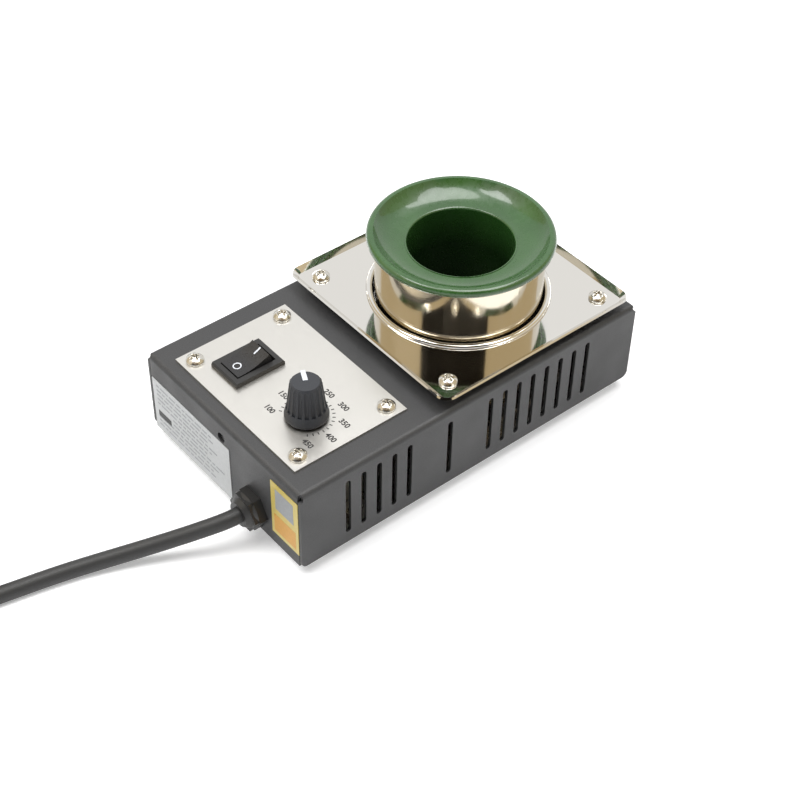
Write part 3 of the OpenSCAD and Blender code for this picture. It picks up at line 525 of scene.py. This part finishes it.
labels = {
    "front": -0.07773,
    "rowsFrom": 0.0272, "rowPitch": 0.0021, "rowHigh": 0.0007, "rows": 10,
    "left": -0.0405, "right": 0.0015, "indentRows": (5, 6), "indent": 0.0095, "ragged": 0.004,
    "words": 9, "wordFrom": 0.0016, "wordStep": 0.0011, "wordGap": 0.0008,
    "block": (-0.0405, -0.0325, 0.0128, 0.0156),
    "square": (0.0312, 0.0412, 0.0236, 0.0332),
    "orange": (0.0302, 0.0422, 0.0124, 0.0206),
}


def field(left, right, low, high):
    bpy.ops.mesh.primitive_plane_add(size=1, rotation=(math.pi / 2, 0, 0),
                                     location=((left + right) / 2, labels["front"], (low + high) / 2))
    bar = bpy.context.object
    bar.scale = (right - left, high - low, 1)
    return bar


def makeLabels():
    bars = []
    for row in range(labels["rows"]):
        low = labels["rowsFrom"] - row * labels["rowPitch"]
        left = labels["left"] + (labels["indent"] if row in labels["indentRows"] else 0)
        for word in range(labels["words"]):
            right = left + labels["wordFrom"] + labels["wordStep"] * ((row * 5 + word * 3) % 4)
            if right > labels["right"] - labels["ragged"] * (row % 3):
                break
            bars.append(field(left, right, low, low + labels["rowHigh"]))
            left = right + labels["wordGap"]
    finishFilm(joinAll(bars), "labelRows", greyFinish, "case")
    finishFilm(joinAll([field(*labels["block"])]), "labelBlock", inkFinish, "case")
    finishFilm(joinAll([field(*labels["square"])]), "tagSquare", greyFinish, "case")
    finishFilm(joinAll([field(*labels["orange"])]), "tagField", orangeFinish, "case")


makeLabels()
print("printing laid")


# studio: pale floor, soft lamps, and cards that only polished metal sees

studio = {
    "keyLamp": {"place": (-0.25, -0.45, 0.9), "size": 0.7, "power": 9},
    "topLamp": {"place": (0.1, 0.3, 1.1), "size": 0.9, "power": 11},
    "skyStrength": 0.32,
    "floorGlow": 0.3,
    "cardRadius": 0.75,
    "facing": -44,       # compass angle of the camera's side
    # colour, then from and to angles past facing, then lowest and highest angle
    "cards": {
        "darkCard": ((0.012, 0.01, 0.008), -46, 46, 26, 54),
        "brownCard": ((0.3, 0.2, 0.09), -60, 60, 54, 74),
        "creamCardLeft": ((0.72, 0.6, 0.4), -130, -46, 18, 62),
        "creamCardRight": ((0.72, 0.6, 0.4), 46, 130, 18, 62),
    },
}


def aimAt(thing, target):
    thing.rotation_euler = (Vector(target) - thing.location).to_track_quat("-Z", "Y").to_euler()


def makeLamp(name, place, size, power):
    bpy.ops.object.light_add(type="AREA", location=place)
    lamp = bpy.context.object
    lamp.name = name
    lamp.data.shape = "DISK"
    lamp.data.size = size
    lamp.data.energy = power
    aimAt(lamp, (0, 0, 0.03))


def seenRays(nodes, links):
    # one for what the camera, gloss and glass see, nought for what only lights
    paths = nodes.new("ShaderNodeLightPath")
    seen = nodes.new("ShaderNodeMath")
    seen.operation = "MAXIMUM"
    through = nodes.new("ShaderNodeMath")
    through.operation = "MAXIMUM"
    links.new(paths.outputs["Is Camera Ray"], seen.inputs[0])
    links.new(paths.outputs["Is Glossy Ray"], seen.inputs[1])
    links.new(seen.outputs["Value"], through.inputs[0])
    links.new(paths.outputs["Is Transmission Ray"], through.inputs[1])
    return through.outputs["Value"]


def makeSky():
    # the sky is white where it is seen, and weaker as light
    world = bpy.data.worlds.new("studioSky")
    scene.world = world
    world.use_nodes = True
    nodes, links = world.node_tree.nodes, world.node_tree.links
    background = nodes["Background"]
    background.inputs["Color"].default_value = (1, 1, 1, 1)
    level = nodes.new("ShaderNodeMapRange")
    level.inputs["To Min"].default_value = studio["skyStrength"]
    level.inputs["To Max"].default_value = 1.0
    links.new(seenRays(nodes, links), level.inputs["Value"])
    links.new(level.outputs["Result"], background.inputs["Strength"])


def makeFloor():
    bpy.ops.mesh.primitive_plane_add(size=6)
    floor = bpy.context.object
    floor.name = "floor"
    finish = newFinish("paleFloor", (0.86, 0.86, 0.86), 0.9)
    nodes, links = finish.node_tree.nodes, finish.node_tree.links
    shader = nodes["Principled BSDF"]
    shader.inputs["Emission Color"].default_value = (1, 1, 1, 1)
    lift = nodes.new("ShaderNodeMath")
    lift.operation = "MULTIPLY"
    lift.inputs[1].default_value = studio["floorGlow"]
    links.new(seenRays(nodes, links), lift.inputs[0])
    links.new(lift.outputs["Value"], shader.inputs["Emission Strength"])
    floor.data.materials.append(finish)


def cardFinish(name, colour):
    finish = bpy.data.materials.new(name)
    finish.use_nodes = True
    nodes, links = finish.node_tree.nodes, finish.node_tree.links
    nodes.clear()
    glow = nodes.new("ShaderNodeEmission")
    glow.inputs["Color"].default_value = (*colour, 1)
    out = nodes.new("ShaderNodeOutputMaterial")
    links.new(glow.outputs["Emission"], out.inputs["Surface"])
    return finish


def makeCard(name, colour, fromAngle, toAngle, low, high):
    # a strip of a sphere round the object, between two compass angles and two heights in degrees
    bpy.ops.mesh.primitive_grid_add(x_subdivisions=24, y_subdivisions=6, size=1)
    card = bpy.context.object
    card.name = name
    radius = studio["cardRadius"]
    for vertex in card.data.vertices:
        around = math.radians(fromAngle + (vertex.co.x + 0.5) * (toAngle - fromAngle))
        up = math.radians(low + (vertex.co.y + 0.5) * (high - low))
        vertex.co = radius * Vector((math.cos(around) * math.cos(up), math.sin(around) * math.cos(up), math.sin(up)))
    card.data.materials.append(cardFinish(name, colour))
    card.visible_camera = False
    card.visible_diffuse = False
    card.visible_shadow = False
    card.visible_transmission = False


def makeStudio():
    for name in ("keyLamp", "topLamp"):
        makeLamp(name, **studio[name])
    makeSky()
    makeFloor()
    for name, (colour, fromAngle, toAngle, low, high) in studio["cards"].items():
        makeCard(name, colour, studio["facing"] + fromAngle, studio["facing"] + toAngle, low, high)


makeStudio()
print("studio lit")

bpy.ops.object.select_all(action="DESELECT")
